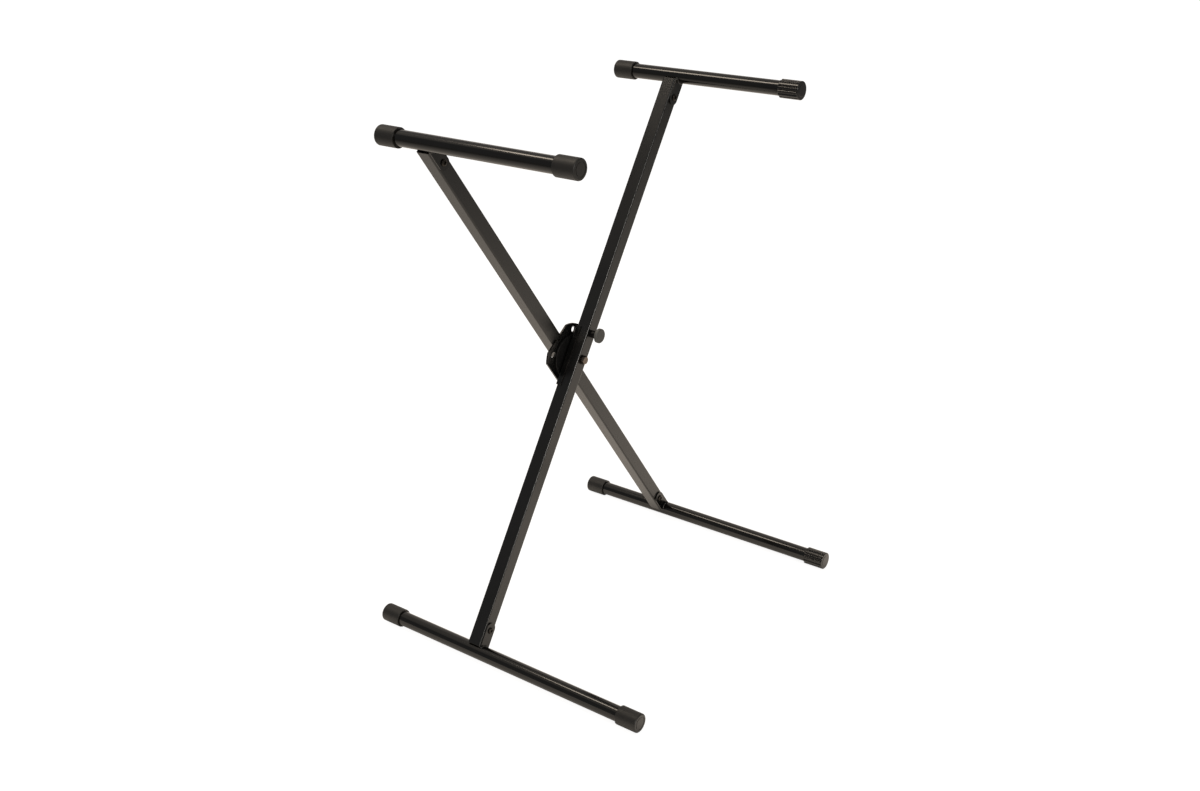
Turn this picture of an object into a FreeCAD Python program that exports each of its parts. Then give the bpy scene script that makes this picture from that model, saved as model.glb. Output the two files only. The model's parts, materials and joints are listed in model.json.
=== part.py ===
import FreeCAD, Part
import math
import os

# Folding single-X keyboard stand: two square legs cross on one pivot, and each carries a round foot bar
# at its lower end and a round support bar at its upper end. A spring pin in the front leg drops into a
# holed plate on the rear leg and holds the spread. All lengths are millimetres.
# X runs across the spread, Y along the bars (the knob side is -Y), Z up. The origin is on the floor,
# under the middle of the stand.

os.makedirs("parts", exist_ok=True)
V = FreeCAD.Vector

# Stance
spread = 586.8  # foot bar to foot bar, centre to centre
leg_pitch = 1036.0  # foot bar to support bar along one leg, centre to centre
leg_offset = 82.3  # from the middle of the bars back to the gap between the legs
leg_gap = 8.4  # between the two legs
folded_angle = 4.0  # between the legs when the stand is folded, in degrees

# Round bars
bar_diameter = 25.0
bar_wall = 1.2
foot_tube_length = 534.0
support_tube_length = 362.0

# Square legs
leg_width = 25.0
leg_wall = 1.5
leg_corner = 2.5

# Rubber end caps
cap_length = 38.0
cap_wall = 3.0
cap_end = 4.0
cap_fit = 0.05
cap_edge = 2.2
cap_mouth_edge = 0.8
cap_ring_radius = 9.5
cap_ring_width = 1.4
cap_ring_depth = 0.5
contact_width = 5.0  # flat that the weight presses into the rubber under each foot
rib_count = 14
rib_depth = 2.0
rib_inset = 0.2
rib_rim = 3.0

# Bar brackets: flat tabs welded to the bars, in front of the legs' coped ends
tab_length = 40.0  # from the bar's surface to the tab's end
tab_width = 22.0
tab_sheet = 2.5
tab_wrap = 4.6  # how far the tab's corners reach round the bar
weld_gap = 0.05
cope_depth = 2.5  # how far the leg's end reaches past the bar's surface
cope_fit = 0.2

# Bracket bolts, and the weld nuts inside the legs that they screw into
bolt_diameter = 6.0
bolt_inset = 13.0  # from the tab's end
bolt_play = 0.2
bolt_fit = 0.05
bolt_tail = 1.5
bolt_head_diameter = 11.0
bolt_head_height = 2.6
bolt_head_round = 1.8
socket_across = 5.0
socket_depth = 1.7
nut_across = 10.0
nut_height = 5.0
nut_edge = 1.2

# Pivot
pivot_diameter = 8.0
pivot_fit = 0.05
pivot_play = 0.3
pivot_head_across = 13.0
pivot_head_height = 5.3
pivot_head_edge = 1.8
pivot_nut_height = 8.0
pivot_tail = 2.0
washer_diameter = 16.5
washer_thickness = 1.6
bush_diameter = 12.0
bush_fit = 0.05
slide_clearance = 0.2

# Saddle channel on the back of the front leg
saddle_margin = 1.4  # past the pin's hole
saddle_sheet = 2.0
saddle_flange = 9.0
saddle_fit = 0.1

# Clutch plate and spacer disc on the front of the rear leg
plate_sheet = 3.0
plate_margin = 5.4
plate_flank = 44.5
plate_tail = 42.0
plate_tail_margin = 2.0
plate_left_shoulder = 16.0
plate_right_shoulder = 8.0
plate_corner = 6.0
notch_lip = 2.0
spacer_margin = 4.4
spacer_edge = 0.8
side_hole_margin = 0.4
side_hole_angle = -35.0
lock_hole_step = 15.0  # between neighbouring spread settings, in degrees

# Spring pin and pull knob
pin_diameter = 9.6
pin_circle = 46.5  # from the pivot to the pin
pin_fit = 0.05
pin_clearance = 0.3
pin_throw_in = 3.0  # travel from the stored place into the plate
pin_tip_edge = 1.0
guide_neck_diameter = 12.6
guide_neck_length = 10.0
guide_neck_edge = 0.8
guide_spigot_diameter = 11.6
guide_tail = 3.0
clip_diameter = 15.0
clip_thickness = 1.5
knob_diameter = 25.0
knob_thickness = 6.0
knob_front_edge = 1.8
knob_back_edge = 1.0
knob_socket_depth = 4.5
knob_stop_gap = 1.0
spring_wire = 1.2
spring_play = 0.3
spring_turns = 6
spring_arcs_per_turn = 4

# Room that a cut runs past the face it opens, and the distance at which two points are one
overrun = 1.0
same_point = 0.000001

# Places worked out from the sizes
bar_radius = bar_diameter / 2
cap_bore_radius = bar_radius + cap_fit
cap_radius = cap_bore_radius + cap_wall
foot_height = math.sqrt(cap_radius ** 2 - (contact_width / 2) ** 2)
tilt = math.degrees(math.asin(spread / leg_pitch))
rise = math.sqrt(leg_pitch ** 2 - spread ** 2)
pivot_height = foot_height + rise / 2
bar_reach = leg_pitch / 2

leg_half = leg_width / 2
front_leg_y = leg_offset - leg_gap / 2 - leg_half
rear_leg_y = leg_offset + leg_gap / 2 + leg_half
front_leg_face = front_leg_y - leg_half
front_leg_back = front_leg_y + leg_half
rear_leg_face = rear_leg_y - leg_half
rear_leg_back = rear_leg_y + leg_half

bar_surface = bar_reach - bar_radius
leg_end = bar_surface + cope_depth
tab_end = bar_surface - tab_length
bolt_reach = tab_end + bolt_inset
bolt_radius = bolt_diameter / 2

pivot_radius = pivot_diameter / 2
bush_radius = bush_diameter / 2
saddle_back = front_leg_back + saddle_sheet
spacer_front = saddle_back + slide_clearance
plate_front = rear_leg_face - plate_sheet

pin_radius = pin_diameter / 2
lock_hole_radius = pin_radius + pin_clearance
saddle_end = pin_circle + lock_hole_radius + saddle_margin
plate_radius = pin_circle + lock_hole_radius + plate_margin
plate_top = pin_circle + notch_lip
spacer_radius = pin_circle - lock_hole_radius - spacer_margin
side_hole_circle = spacer_radius + lock_hole_radius + side_hole_margin
pin_tip = plate_front - pin_clearance
guide_front = front_leg_face - guide_neck_length
knob_back = guide_front - knob_stop_gap - pin_throw_in
knob_front = knob_back - knob_thickness
leg_inner_front = front_leg_face + leg_wall
leg_inner_back = front_leg_back - leg_wall
clip_back = leg_inner_back - pin_throw_in - pin_clearance
clip_front = clip_back - clip_thickness

# Directions that a drawn outline is turned to: as drawn, or seen from the front
AS_DRAWN = FreeCAD.Rotation()
FROM_FRONT = FreeCAD.Rotation(V(1, 0, 0), 90)
Y_AXIS = V(0, 1, 0)


def rounded_outline(corners):
    """Closed flat wire through corners given as (x, y, rounding radius)."""
    count = len(corners)
    edges = []
    turns = []
    for index, (x, y, radius) in enumerate(corners):
        corner = V(x, y, 0)
        back = (V(*corners[index - 1][:2], 0) - corner).normalize()
        ahead = (V(*corners[(index + 1) % count][:2], 0) - corner).normalize()
        half = back.getAngle(ahead) / 2
        inward = (back + ahead).normalize() if radius else V(0, 0, 0)
        inset = radius / math.tan(half)
        middle = corner + inward * (radius / math.sin(half) - radius)
        turns.append((corner + back * inset, middle, corner + ahead * inset, radius))
    for index, (start, middle, end, radius) in enumerate(turns):
        last_end = turns[index - 1][2]
        if last_end.distanceToPoint(start) > same_point:
            edges.append(Part.LineSegment(last_end, start).toShape())
        if radius:
            edges.append(Part.Arc(start, middle, end).toShape())
    return Part.Wire(edges)


def prism(wire, turn, start, run):
    """Straight piece whose outline is turned, put at start and pulled along run."""
    face = Part.Face(wire)
    face.Placement = FreeCAD.Placement(start, turn)
    return face.extrude(run)


def turned(corners):
    """Round piece about the Y axis, from a half section of (radius, y, rounding) corners."""
    return Part.Face(rounded_outline(corners)).revolve(V(0, 0, 0), Y_AXIS, 360)


def rod(radius, y_front, y_back, x=0, z=0):
    return Part.makeCylinder(radius, y_back - y_front, V(x, y_front, z), Y_AXIS)


def moved(shape, x, y, z):
    copy = shape.copy()
    copy.translate(V(x, y, z))
    return copy


def at_angle(radius, angle):
    """Point (x, z) at a radius from the pivot, turned clockwise from straight up as seen from the front."""
    return radius * math.sin(math.radians(angle)), radius * math.cos(math.radians(angle))


def hexagon(across):
    """Six corners of a hexagon, from its width across flats."""
    corner_radius = across / math.sqrt(3)
    return [at_angle(corner_radius, 60 * index) + (0,) for index in range(6)]


def hex_piece(across, y_front, y_back, edge):
    """Hexagonal head or nut with its corners rounded off at both faces."""
    corner_radius = across / math.sqrt(3)
    flats = prism(rounded_outline(hexagon(across)), FROM_FRONT, V(0, y_front, 0), V(0, y_back - y_front, 0))
    crown = turned([(0, y_front, 0), (corner_radius, y_front, edge), (corner_radius, y_back, edge), (0, y_back, 0)])
    return flats.common(crown)


def leaned(shape, lean):
    """Takes a piece drawn on an upright leg to that leg's lean and up to the pivot."""
    copy = shape.copy()
    copy.rotate(V(0, 0, 0), Y_AXIS, lean * tilt)
    copy.translate(V(0, 0, pivot_height))
    return copy


def at_end(shape, end):
    """Turns a piece drawn at the leg's upper end (+1) round to its lower end (-1)."""
    copy = shape.copy()
    if end < 0:
        copy.rotate(V(0, 0, 0), Y_AXIS, 180)
    return copy


def bar_tube(length):
    """Round bar at the leg's upper end, open at both ends."""
    outside = rod(bar_radius, -length / 2, length / 2, z=bar_reach)
    inside = rod(bar_radius - bar_wall, -length / 2, length / 2, z=bar_reach)
    return outside.cut(inside)


def end_cap():
    """Moulded cap with its closed end at y = 0 and its mouth towards +Y."""
    ring_outer = cap_ring_radius + cap_ring_width
    return turned([
        (0, 0, 0),
        (cap_ring_radius, 0, 0),
        (cap_ring_radius, cap_ring_depth, 0),
        (ring_outer, cap_ring_depth, 0),
        (ring_outer, 0, 0),
        (cap_radius, 0, cap_edge),
        (cap_radius, cap_length, cap_mouth_edge),
        (cap_bore_radius, cap_length, 0),
        (cap_bore_radius, cap_end, 0),
        (0, cap_end, 0),
    ])


def ribbed_cap():
    """The same cap with rounded ribs along it, from its mouth to a plain rim."""
    crest_radius = cap_radius - rib_inset
    valley_radius = crest_radius - rib_depth
    step = 2 * math.pi / rib_count
    arcs = []
    for index in range(rib_count):
        start, crest, end = index * step, (index + 1 / 2) * step, (index + 1) * step
        arcs.append(Part.Arc(
            V(valley_radius * math.cos(start), valley_radius * math.sin(start), 0),
            V(crest_radius * math.cos(crest), crest_radius * math.sin(crest), 0),
            V(valley_radius * math.cos(end), valley_radius * math.sin(end), 0)).toShape())
    ribs = prism(Part.Wire(arcs), FROM_FRONT, V(0, rib_rim, 0), V(0, cap_length - rib_rim, 0))
    plain = end_cap()
    rim = plain.common(rod(cap_radius + overrun, -overrun, rib_rim))
    return rim.fuse(ribs).cut(rod(cap_bore_radius, cap_end, cap_length))


def bar_cap(cap, length, side, x, z, on_floor):
    """Pushes a cap onto one end of a bar, side -1 in front and +1 behind, and flattens it on the floor."""
    copy = cap.copy()
    if side > 0:
        copy.rotate(V(0, 0, 0), V(0, 0, 1), 180)
    copy.translate(V(x, side * (length / 2 + cap_end), z))
    if on_floor:
        reach = cap_radius + overrun
        depth = foot_tube_length + leg_pitch
        copy = copy.cut(Part.makeBox(2 * reach, 2 * depth, reach, V(x - reach, -depth, -reach)))
    return copy


def bracket(leg_y):
    """Flat tab in front of the leg's upper end, round at its bolt and hollowed where the bar is welded on."""
    back = leg_y - leg_half
    front = back - tab_sheet
    half = tab_width / 2
    corner = bar_surface + tab_wrap
    tab = prism(rounded_outline([
        (-half, tab_end, half),
        (half, tab_end, half),
        (half, corner, 0),
        (-half, corner, 0),
    ]), FROM_FRONT, V(0, front, 0), V(0, tab_sheet, 0))
    bar = rod(bar_radius + weld_gap, front, back, z=bar_reach)
    hole = rod(bolt_radius + bolt_play, front, back, z=bolt_reach)
    return tab.cut([bar, hole])


def bracket_bolt(leg_y):
    """Button-head screw through the tab and the leg's front wall."""
    face = leg_y - leg_half - tab_sheet
    head_radius = bolt_head_diameter / 2
    end = leg_y - leg_half + leg_wall + nut_height + bolt_tail
    screw = turned([
        (0, face - bolt_head_height, 0),
        (head_radius, face - bolt_head_height, bolt_head_round),
        (head_radius, face, 0),
        (bolt_radius, face, 0),
        (bolt_radius, end, bolt_radius / 4),
        (0, end, 0),
    ])
    socket = prism(rounded_outline(hexagon(socket_across)), FROM_FRONT,
                   V(0, face - bolt_head_height, 0), V(0, socket_depth, 0))
    return moved(screw.cut(socket), 0, 0, bolt_reach)


def bracket_nut(leg_y):
    """Nut welded to the inside of the leg's front wall."""
    face = leg_y - leg_half + leg_wall
    nut = hex_piece(nut_across, face, face + nut_height, nut_edge)
    return moved(nut.cut(rod(bolt_radius + bolt_fit, face, face + nut_height)), 0, 0, bolt_reach)


def square_section(half, corner, leg_y):
    return rounded_outline([
        (-half, leg_y - half, corner),
        (half, leg_y - half, corner),
        (half, leg_y + half, corner),
        (-half, leg_y + half, corner),
    ])


def leg_tube(leg_y):
    """Square tube with a cross hole for the pivot bush, and at each end a bolt hole and a cope for the bar."""
    start = V(0, 0, -leg_end)
    run = V(0, 0, 2 * leg_end)
    front = leg_y - leg_width
    back = leg_y + leg_width
    inner_corner = max(leg_corner - leg_wall, 0)
    tube = prism(square_section(leg_half, leg_corner, leg_y), AS_DRAWN, start, run)
    tube = tube.cut(prism(square_section(leg_half - leg_wall, inner_corner, leg_y), AS_DRAWN, start, run))
    holes = [rod(bush_radius + bush_fit, front, back)]
    for end in (-1, 1):
        holes.append(rod(bolt_radius + bolt_play, front, leg_y, z=end * bolt_reach))
        holes.append(rod(bar_radius + cope_fit, front, back, z=end * bar_reach))
    return tube.cut(holes)


def front_leg_tube():
    """The front leg also has the spring pin's guide in its front wall and a hole in its back wall."""
    guide = rod(guide_spigot_diameter / 2 + bush_fit, front_leg_face - overrun, front_leg_y, z=pin_circle)
    pin = rod(pin_radius + pin_clearance, front_leg_y, front_leg_back + overrun, z=pin_circle)
    return leg_tube(front_leg_y).cut([guide, pin])


def saddle():
    """Folded channel over the back of the front leg, which stiffens it round the pivot and the pin."""
    inside = leg_half + saddle_fit
    outside = inside + saddle_sheet
    bend = leg_corner / 2
    flange_end = front_leg_back - saddle_flange
    channel = prism(rounded_outline([
        (-outside, flange_end, 0),
        (-inside, flange_end, 0),
        (-inside, front_leg_back, bend),
        (inside, front_leg_back, bend),
        (inside, flange_end, 0),
        (outside, flange_end, 0),
        (outside, saddle_back, bend + saddle_sheet),
        (-outside, saddle_back, bend + saddle_sheet),
    ]), AS_DRAWN, V(0, 0, -saddle_end), V(0, 0, 2 * saddle_end))
    pivot = rod(pivot_radius + pivot_play, front_leg_y, saddle_back + overrun)
    pin = rod(pin_radius + pin_clearance, front_leg_y, saddle_back + overrun, z=pin_circle)
    return channel.cut([pivot, pin])


def pivot_bush(leg_y):
    bore = rod(pivot_radius + pivot_fit, leg_y - leg_half, leg_y + leg_half)
    return rod(bush_radius, leg_y - leg_half, leg_y + leg_half).cut(bore)


def washer(y_front):
    y_back = y_front + washer_thickness
    return rod(washer_diameter / 2, y_front, y_back).cut(rod(pivot_radius + pivot_play, y_front, y_back))


pivot_head_face = front_leg_face - washer_thickness
rear_washer_front = rear_leg_back + slide_clearance
pivot_nut_front = rear_washer_front + washer_thickness
pivot_nut_back = pivot_nut_front + pivot_nut_height


def pivot_bolt():
    """Hexagon bolt through both legs; the rear leg turns on its shank."""
    end = pivot_nut_back + pivot_tail
    shank = turned([
        (0, pivot_head_face, 0),
        (pivot_radius, pivot_head_face, 0),
        (pivot_radius, end, pivot_radius / 4),
        (0, end, 0),
    ])
    head = hex_piece(pivot_head_across, pivot_head_face - pivot_head_height, pivot_head_face, pivot_head_edge)
    return shank.fuse(head)


def pivot_nut():
    nut = hex_piece(pivot_head_across, pivot_nut_front, pivot_nut_back, pivot_head_edge)
    return nut.cut(rod(pivot_radius + bolt_fit, pivot_nut_front, pivot_nut_back))


def clutch_plate():
    """Fan-shaped plate with a lock hole for each spread, and a notch in its top edge for the folded stand."""
    tail_half = leg_half + plate_tail_margin
    fan = prism(rounded_outline([
        (-plate_flank, plate_top, 0),
        (plate_radius, plate_top, 0),
        (plate_radius, -plate_right_shoulder, plate_corner),
        (tail_half, -plate_tail, plate_corner),
        (-tail_half, -plate_tail, plate_corner),
        (-plate_flank, -plate_left_shoulder, plate_corner),
    ]), FROM_FRONT, V(0, plate_front, 0), V(0, plate_sheet, 0))
    fan = fan.common(rod(plate_radius, plate_front, rear_leg_face))
    holes = [rod(pivot_radius + pivot_play, plate_front, rear_leg_face)]
    for setting in (-1, 0, 1):
        x, z = at_angle(pin_circle, 2 * tilt + setting * lock_hole_step)
        holes.append(rod(lock_hole_radius, plate_front, rear_leg_face, x, z))
    x, z = at_angle(side_hole_circle, side_hole_angle)
    holes.append(rod(lock_hole_radius, plate_front, rear_leg_face, x, z))
    x, z = at_angle(pin_circle, folded_angle)
    holes.append(prism(rounded_outline([
        (x - lock_hole_radius, z - lock_hole_radius, lock_hole_radius),
        (x + lock_hole_radius, z - lock_hole_radius, lock_hole_radius),
        (x + lock_hole_radius, plate_top + overrun, 0),
        (x - lock_hole_radius, plate_top + overrun, 0),
    ]), FROM_FRONT, V(0, plate_front, 0), V(0, plate_sheet, 0)))
    return fan.cut(holes)


def spacer_disc():
    """Plastic disc that keeps the legs apart and lets them turn."""
    disc = turned([
        (0, spacer_front, 0),
        (spacer_radius, spacer_front, spacer_edge),
        (spacer_radius, plate_front, 0),
        (0, plate_front, 0),
    ])
    return disc.cut(rod(pivot_radius + pivot_play, spacer_front, plate_front))


def pin_guide():
    """Plastic bush in the front leg's front wall, with a neck that the knob's shaft comes out of."""
    tail = leg_inner_front + guide_tail
    bore = pin_radius + pin_fit
    bush = turned([
        (bore, guide_front, 0),
        (guide_neck_diameter / 2, guide_front, guide_neck_edge),
        (guide_neck_diameter / 2, front_leg_face, 0),
        (guide_spigot_diameter / 2, front_leg_face, 0),
        (guide_spigot_diameter / 2, tail, 0),
        (bore, tail, 0),
    ])
    return moved(bush, 0, 0, pin_circle)


def lock_pin():
    head = knob_back - knob_socket_depth
    pin = turned([(0, head, 0), (pin_radius, head, 0), (pin_radius, pin_tip, pin_tip_edge), (0, pin_tip, 0)])
    return moved(pin, 0, 0, pin_circle)


def pin_clip():
    ring = rod(clip_diameter / 2, clip_front, clip_back).cut(rod(pin_radius, clip_front, clip_back))
    return moved(ring, 0, 0, pin_circle)


def pull_knob():
    radius = knob_diameter / 2
    disc = turned([
        (0, knob_front, 0),
        (radius, knob_front, knob_front_edge),
        (radius, knob_back, knob_back_edge),
        (0, knob_back, 0),
    ])
    socket = rod(pin_radius, knob_back - knob_socket_depth, knob_back)
    return moved(disc.cut(socket), 0, 0, pin_circle)


def lock_spring():
    """Compression spring round the guide and the pin, between the leg's front wall and the clip."""
    wire_radius = spring_wire / 2
    coil_radius = guide_spigot_diameter / 2 + spring_play + wire_radius
    length = clip_front - leg_inner_front - spring_wire
    steps = spring_turns * spring_arcs_per_turn
    points = []
    for half_step in range(2 * steps + 1):
        x, z = at_angle(coil_radius, 180 * half_step / spring_arcs_per_turn)
        points.append(V(x, length * half_step / (2 * steps), z))
    arcs = []
    for index in range(0, 2 * steps, 2):
        arcs.append(Part.Arc(*points[index:index + 3]).toShape())
    section = Part.Wire(Part.makeCircle(wire_radius, points[0], arcs[0].tangentAt(arcs[0].FirstParameter)))
    coil = Part.Wire(arcs).makePipeShell([section], True, False)
    return moved(coil, 0, leg_inner_front + wire_radius, pin_circle)


def write(node, shape):
    solids = shape.removeSplitter().Solids
    solids[0].exportStep("parts/" + node + ".step")


# Both legs with their bars, brackets, bolts and caps
FRONT, REAR = 1, -1
bars = (
    ("left_foot", FRONT, -1, foot_tube_length),
    ("right_support", FRONT, 1, support_tube_length),
    ("right_foot", REAR, -1, foot_tube_length),
    ("left_support", REAR, 1, support_tube_length),
)
for bar, lean, end, length in bars:
    leg_y = front_leg_y if lean == FRONT else rear_leg_y
    write(bar + "_tube", leaned(at_end(bar_tube(length), end), lean))
    write(bar + "_bracket", leaned(at_end(bracket(leg_y), end), lean))
    write(bar + "_bolt", leaned(at_end(bracket_bolt(leg_y), end), lean))
    write(bar + "_nut", leaned(at_end(bracket_nut(leg_y), end), lean))
    x = lean * end * spread / 2
    z = pivot_height + end * rise / 2
    front_cap = ribbed_cap() if bar == "right_support" else end_cap()
    write(bar + "_cap_front", bar_cap(front_cap, length, -1, x, z, end < 0))
    write(bar + "_cap_rear", bar_cap(end_cap(), length, 1, x, z, end < 0))

write("front_leg_tube", leaned(front_leg_tube(), FRONT))
write("rear_leg_tube", leaned(leg_tube(rear_leg_y), REAR))

# The pivot and what lies between the legs
write("front_leg_saddle", leaned(saddle(), FRONT))
write("front_pivot_bush", leaned(pivot_bush(front_leg_y), FRONT))
write("rear_pivot_bush", leaned(pivot_bush(rear_leg_y), REAR))
write("pivot_bolt", leaned(pivot_bolt(), FRONT))
write("pivot_washer_front", leaned(washer(pivot_head_face), FRONT))
write("pivot_washer_rear", leaned(washer(rear_washer_front), FRONT))
write("pivot_nut", leaned(pivot_nut(), FRONT))
write("clutch_plate", leaned(clutch_plate(), REAR))
write("spacer_disc", leaned(spacer_disc(), REAR))

# The spring pin in the front leg
write("pin_guide", leaned(pin_guide(), FRONT))
write("lock_pin", leaned(lock_pin(), FRONT))
write("pin_clip", leaned(pin_clip(), FRONT))
write("pull_knob", leaned(pull_knob(), FRONT))
write("lock_spring", leaned(lock_spring(), FRONT))
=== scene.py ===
import json
import math

import bmesh
import bpy
from mathutils import Matrix, Vector

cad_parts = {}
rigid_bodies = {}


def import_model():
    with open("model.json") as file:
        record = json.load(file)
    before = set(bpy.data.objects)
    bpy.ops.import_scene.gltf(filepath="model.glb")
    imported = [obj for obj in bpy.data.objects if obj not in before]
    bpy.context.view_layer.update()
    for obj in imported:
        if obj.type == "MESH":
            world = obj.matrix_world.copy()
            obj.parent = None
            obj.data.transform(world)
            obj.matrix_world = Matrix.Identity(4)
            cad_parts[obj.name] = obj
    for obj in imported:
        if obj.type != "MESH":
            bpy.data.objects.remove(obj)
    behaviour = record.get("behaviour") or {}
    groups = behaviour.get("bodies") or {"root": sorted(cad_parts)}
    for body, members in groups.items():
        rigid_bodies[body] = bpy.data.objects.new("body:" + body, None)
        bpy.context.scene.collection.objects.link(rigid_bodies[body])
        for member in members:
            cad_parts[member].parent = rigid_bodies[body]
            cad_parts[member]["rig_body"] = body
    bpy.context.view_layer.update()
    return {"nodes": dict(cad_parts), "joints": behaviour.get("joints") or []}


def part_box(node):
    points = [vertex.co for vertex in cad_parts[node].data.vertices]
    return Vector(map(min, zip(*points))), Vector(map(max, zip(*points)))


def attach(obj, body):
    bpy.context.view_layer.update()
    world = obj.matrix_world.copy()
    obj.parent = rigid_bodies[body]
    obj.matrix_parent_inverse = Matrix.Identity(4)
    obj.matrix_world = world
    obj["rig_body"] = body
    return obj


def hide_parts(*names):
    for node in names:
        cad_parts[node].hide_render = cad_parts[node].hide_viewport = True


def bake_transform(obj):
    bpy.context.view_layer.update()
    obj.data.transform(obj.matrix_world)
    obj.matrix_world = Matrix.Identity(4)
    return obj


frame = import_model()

# The two legs: square steel tubes that cross at the pivot, sawn to length, coped at both ends to sit on the
# bars, and drilled. They are powder-coated in black before the stand is put together.

MM = 0.001
LEG_BLACK = "#090808"
LEG_HAZE = "#11100f"
LEG_WORN = "#3a3531"
HANDLING_PITCH = 60 * MM
LEG_WEAR_REACH = 1.2 * MM
EDGE_STARTS = 0.98  # how far a rounded normal still agrees with the face's own, where wear begins
EDGE_FULL = 0.85
PEEL_PITCH = 1.8 * MM
PEEL_HEIGHT = 0.008 * MM


def linear(hex_colour):
    """sRGB hex colour as linear red, green, blue and alpha."""
    shares = [int(hex_colour[at:at + 2], 16) / 255 for at in (1, 3, 5)]
    return [s / 12.92 if s <= 0.04045 else ((s + 0.055) / 1.055) ** 2.4 for s in shares] + [1]


def add(tree, kind, inputs, **settings):
    """Adds a node with its settings; each input takes a plain value or the socket that feeds it."""
    node = tree.nodes.new(kind)
    for name, value in settings.items():
        setattr(node, name, value)
    for name, value in inputs.items():
        if isinstance(value, bpy.types.NodeSocket):
            tree.links.new(value, node.inputs[name])
        else:
            node.inputs[name].default_value = value
    return node


def new_material(name):
    """Empty material, its tree, and the object coordinates in metres that its patterns read."""
    material = bpy.data.materials.new(name)
    material.use_nodes = True
    tree = material.node_tree
    tree.nodes.clear()
    place = add(tree, "ShaderNodeTexCoord", {}).outputs["Object"]
    return material, tree, place


def dress(material, *nodes):
    """Gives CAD nodes a material in place of the plain one that they came with."""
    for name in nodes:
        slots = frame["nodes"][name].data.materials
        slots.clear()
        slots.append(material)


# Satin powder coat, baked on dry: each flat face shows one soft reflection of the room, broken a little by
# orange peel, with faint hazy patches where hands have held it and thin grey rims at the sawn edges.
powder_coat, tree, place = new_material("satin_powder_coat")
handled = add(tree, "ShaderNodeTexNoise", {"Vector": place, "Scale": 1 / HANDLING_PITCH, "Detail": 4})
haze = add(tree, "ShaderNodeMix", {
    0: handled.outputs["Fac"], 6: linear(LEG_BLACK), 7: linear(LEG_HAZE)}, data_type="RGBA")
rounded = add(tree, "ShaderNodeBevel", {"Radius": LEG_WEAR_REACH}, samples=4)
turned = add(tree, "ShaderNodeVectorMath", {
    0: rounded.outputs["Normal"], 1: add(tree, "ShaderNodeNewGeometry", {}).outputs["Normal"]},
    operation="DOT_PRODUCT")
edge = add(tree, "ShaderNodeMapRange", {
    "Value": turned.outputs["Value"], "From Min": EDGE_STARTS, "From Max": EDGE_FULL})
colour = add(tree, "ShaderNodeMix", {
    0: edge.outputs["Result"], 6: haze.outputs[2], 7: linear(LEG_WORN)}, data_type="RGBA")
sheen = add(tree, "ShaderNodeMapRange", {"Value": handled.outputs["Fac"], "To Min": 0.22, "To Max": 0.34})
peel = add(tree, "ShaderNodeTexNoise", {"Vector": place, "Scale": 1 / PEEL_PITCH, "Detail": 2})
bump = add(tree, "ShaderNodeBump", {"Distance": PEEL_HEIGHT, "Height": peel.outputs["Fac"]})
coat = add(tree, "ShaderNodeBsdfPrincipled", {
    "Base Color": colour.outputs[2], "Roughness": sheen.outputs["Result"], "IOR": 1.55,
    "Normal": bump.outputs["Normal"]})
add(tree, "ShaderNodeOutputMaterial", {"Surface": coat.outputs["BSDF"]})
dress(powder_coat, "front_leg_tube", "rear_leg_tube")

# The four round bars: welded steel tube, the two long ones on the floor and the two short ones under the
# keyboard. They are dipped in black stove enamel, which runs smooth round the tube and bakes glossy.

BARS = ("left_foot", "right_foot", "left_support", "right_support")
BAR_BLACK = "#080706"
BAR_BLOOM = "#0e0c0a"
FLOW_PITCH = 35 * MM
RIPPLE_PITCH = 16 * MM
RIPPLE_HEIGHT = 0.006 * MM

# Stove enamel: a deep black with a clear gloss, so the soft box overhead draws one bright line along each bar
# that wavers slightly where the enamel ran.
stove_enamel, tree, place = new_material("black_stove_enamel")
flow = add(tree, "ShaderNodeTexNoise", {"Vector": place, "Scale": 1 / FLOW_PITCH, "Detail": 3})
colour = add(tree, "ShaderNodeMix", {
    0: flow.outputs["Fac"], 6: linear(BAR_BLACK), 7: linear(BAR_BLOOM)}, data_type="RGBA")
sheen = add(tree, "ShaderNodeMapRange", {"Value": flow.outputs["Fac"], "To Min": 0.09, "To Max": 0.18})
ripple = add(tree, "ShaderNodeTexNoise", {"Vector": place, "Scale": 1 / RIPPLE_PITCH, "Detail": 1})
bump = add(tree, "ShaderNodeBump", {"Distance": RIPPLE_HEIGHT, "Height": ripple.outputs["Fac"]})
enamel = add(tree, "ShaderNodeBsdfPrincipled", {
    "Base Color": colour.outputs[2], "Roughness": sheen.outputs["Result"], "IOR": 1.5,
    "Normal": bump.outputs["Normal"]})
add(tree, "ShaderNodeOutputMaterial", {"Surface": enamel.outputs["BSDF"]})
dress(stove_enamel, *[bar + "_tube" for bar in BARS])

# The pressed pieces: the four tabs between bars and legs, the saddle channel on the back of the front leg,
# and the holed clutch plate on the rear leg. All are cut from steel sheet and lacquered black after welding.

PLATE_BLACK = "#060606"
PLATE_RUBBED = "#151413"
# The sheared edges' colour: partly lacquer worn thin, partly a painted highlight.
PLATE_EDGE_WEAR_AND_HIGHLIGHT = "#554e48"
PLATE_EDGE_REACH = 0.8 * MM
RUBBED_PITCH = 12 * MM
SHEET_GRAIN = 0.9 * MM
SHEET_GRAIN_HEIGHT = 0.01 * MM
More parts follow.
